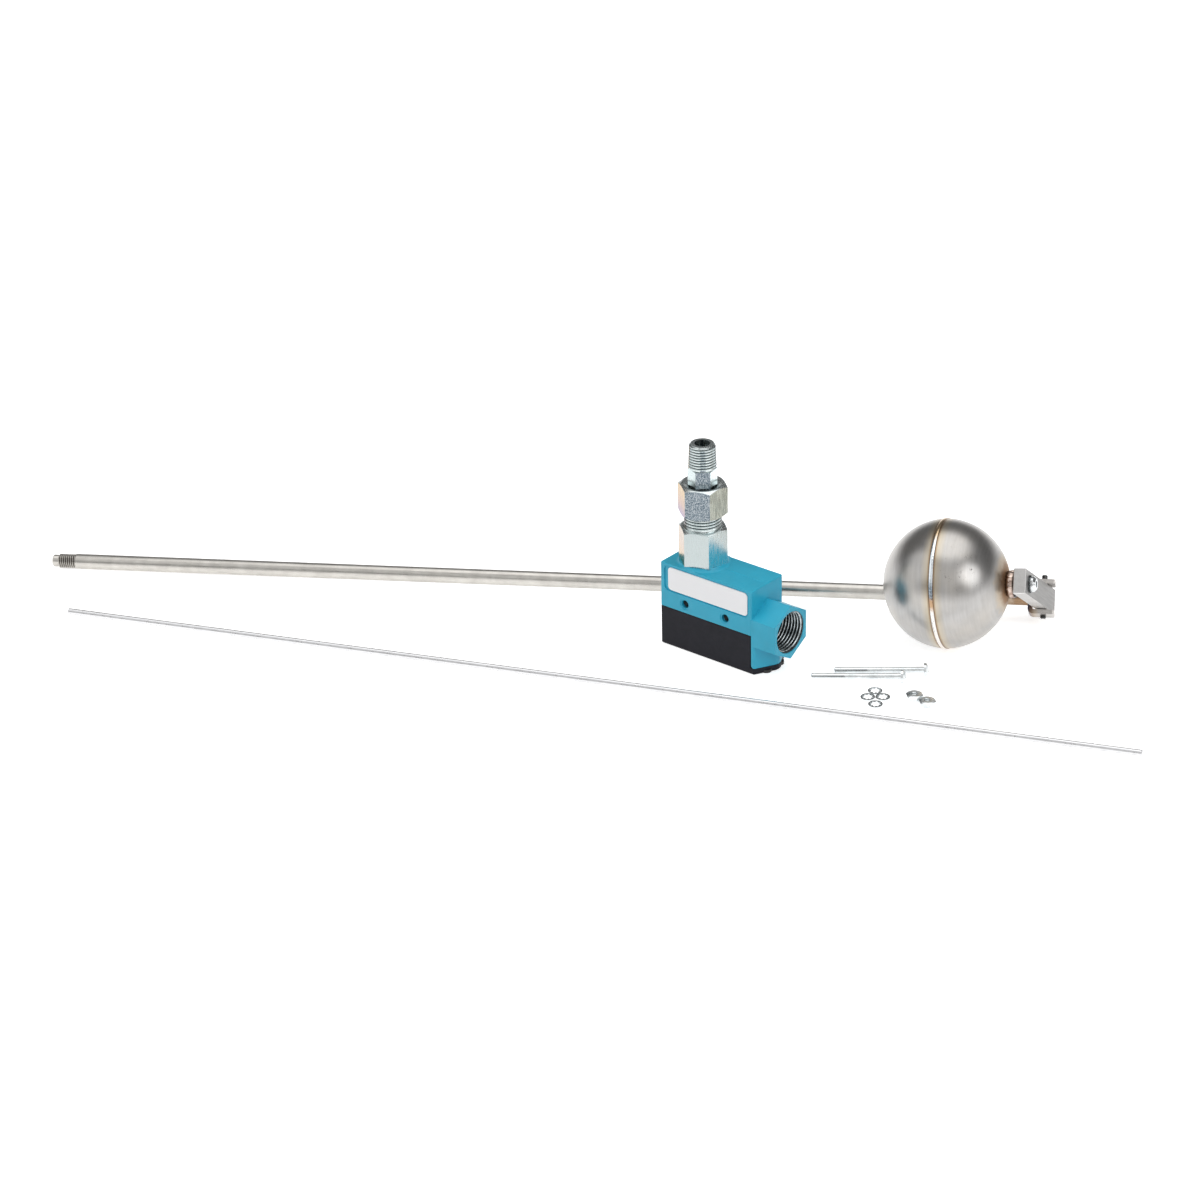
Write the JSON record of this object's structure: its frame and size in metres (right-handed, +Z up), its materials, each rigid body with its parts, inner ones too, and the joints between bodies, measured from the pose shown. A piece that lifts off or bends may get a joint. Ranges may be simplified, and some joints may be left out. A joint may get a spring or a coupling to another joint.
{
  "type": "float level switch",
  "caption": "Float level switch kit: blue snap-switch enclosure with conduit hub and steel union, guide tube with hinged ball float, push rod and mounting hardware.",
  "frame": {"origin": "base face of the switch enclosure, below the axis of the union fitting", "axes": "+X out of the conduit entry, +Z up along the fitting's axis, -Y towards the nameplate side"},
  "size_m": [0.5666, 0.3123, 0.1111],
  "materials": {
    "blue_paint": "satin",
    "black_cover": "matte",
    "label": "satin",
    "zinc_steel": "satin",
    "stainless": "satin",
    "weld_bead": "satin",
    "rod_steel": "satin",
    "brass_parts": "satin",
    "black_rubber": "matte",
    "switch_case": "satin",
    "red_button": "gloss"
  },
  "bodies": {
    "root": {"switch_housing": "blue_paint", "switch_cover": "black_cover", "cover_gasket": "black_rubber", "cover_screws": "zinc_steel", "nameplate": "label", "mounting_sleeves": "zinc_steel", "basic_switch": "switch_case", "terminal_plates": "brass_parts", "terminal_screws": "brass_parts", "fitting_body": "zinc_steel", "union_nut": "zinc_steel", "union_gasket": "brass_parts", "tube_adapter": "zinc_steel", "plunger_bushing": "brass_parts", "plunger_seal": "black_rubber", "guide_tube": "stainless", "fork_bracket": "stainless", "pivot_pin": "stainless", "push_rod": "rod_steel", "mounting_screws": "zinc_steel", "mounting_nuts": "zinc_steel", "lock_washers": "zinc_steel"},
    "float": {"lever_block": "stainless", "float_spud": "stainless", "spud_weld": "weld_bead", "float_lock_washer": "zinc_steel", "float_screw": "zinc_steel", "float_half_outer": "stainless", "float_half_inner": "stainless", "seam_weld": "weld_bead"},
    "plunger_body": {"plunger": "stainless"},
    "button_body": {"switch_button": "red_button"}
  },
  "joints": [
    {"name": "float_hinge", "type": "hinge", "parent": "root", "child": "float", "pos_m": [0.12166, 0.12453, 0.01231], "axis": [-0.3076, 0.4949, 0.8127], "range_deg": [0, 25]},
    {"name": "plunger_slide", "type": "slide", "parent": "root", "child": "plunger_body", "axis": [0, 0, -1], "range_m": [0, 0.0018], "stiffness_N_per_m": 400, "springref_m": -0.002},
    {"name": "button_slide", "type": "slide", "parent": "root", "child": "button_body", "axis": [0, 0, -1], "range_m": [0, 0.0018], "stiffness_N_per_m": 400, "springref_m": -0.002}
  ],
  "couplings": [
    {"joint": "button_slide", "follows": "plunger_slide", "ratio": 1}
  ]
}
